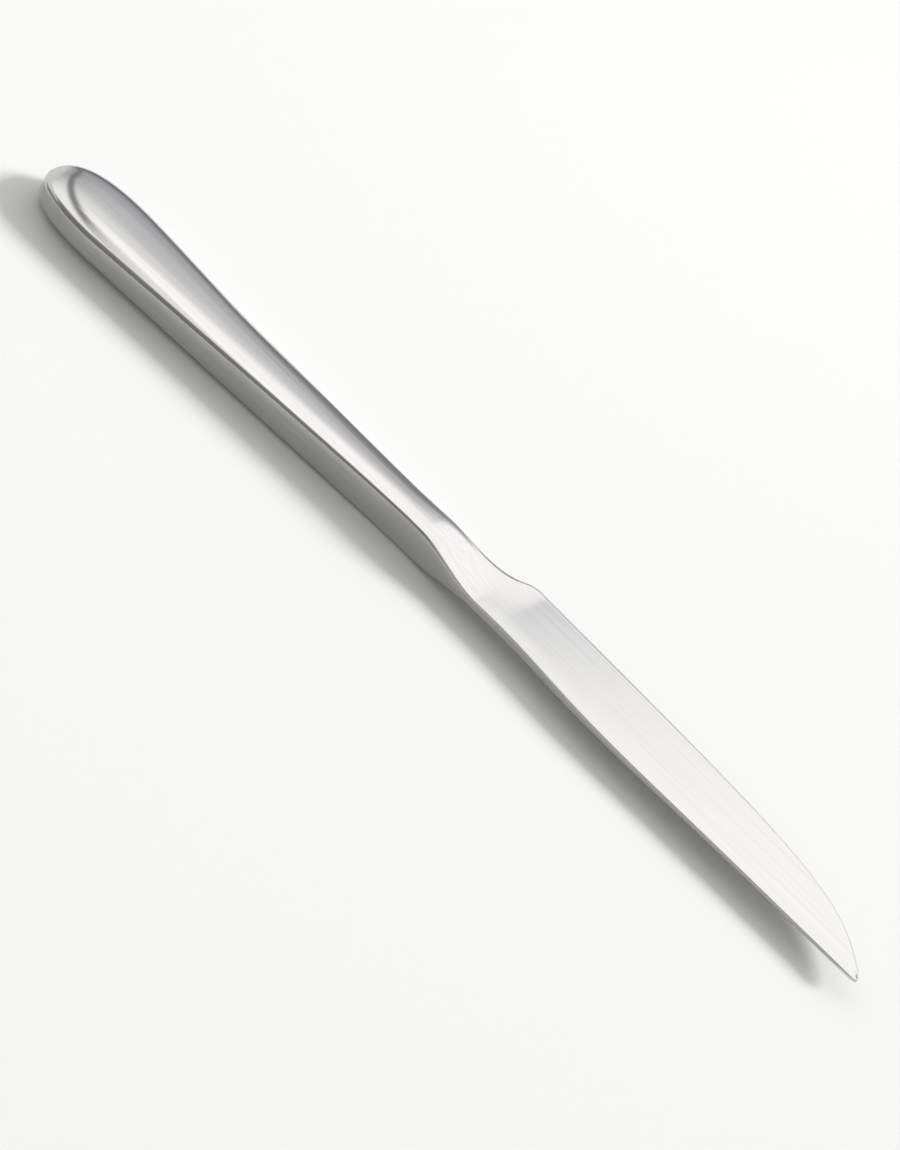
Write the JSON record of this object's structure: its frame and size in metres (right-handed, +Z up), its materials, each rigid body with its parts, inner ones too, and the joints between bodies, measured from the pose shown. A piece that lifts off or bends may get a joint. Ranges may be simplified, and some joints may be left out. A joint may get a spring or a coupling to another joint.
{
  "type": "steak knife",
  "caption": "All-steel steak knife: hollow teardrop handle of soldered half shells, polished, cemented on the notched tang of a satin blade with a plain edge and curved belly.",
  "frame": {"origin": "on the surface that the knife lies on, under the middle of its bounding box", "axes": "+X from the butt of the handle to the tip, +Y from the spine to the cutting edge, +Z up, square to the blade's side"},
  "size_m": [0.235, 0.0208, 0.008],
  "materials": {
    "polished_steel": "mirror-polished stainless steel",
    "satin_steel": "satin stainless steel, ground along the blade",
    "seam_solder": "solder ground and polished flush with the shells",
    "cement": "matt, set cement"
  },
  "bodies": {
    "root": {"upper_handle_shell": "polished_steel", "lower_handle_shell": "polished_steel", "seam_solder": "seam_solder", "blade": "satin_steel", "tang_cement": "cement"}
  },
  "joints": []
}
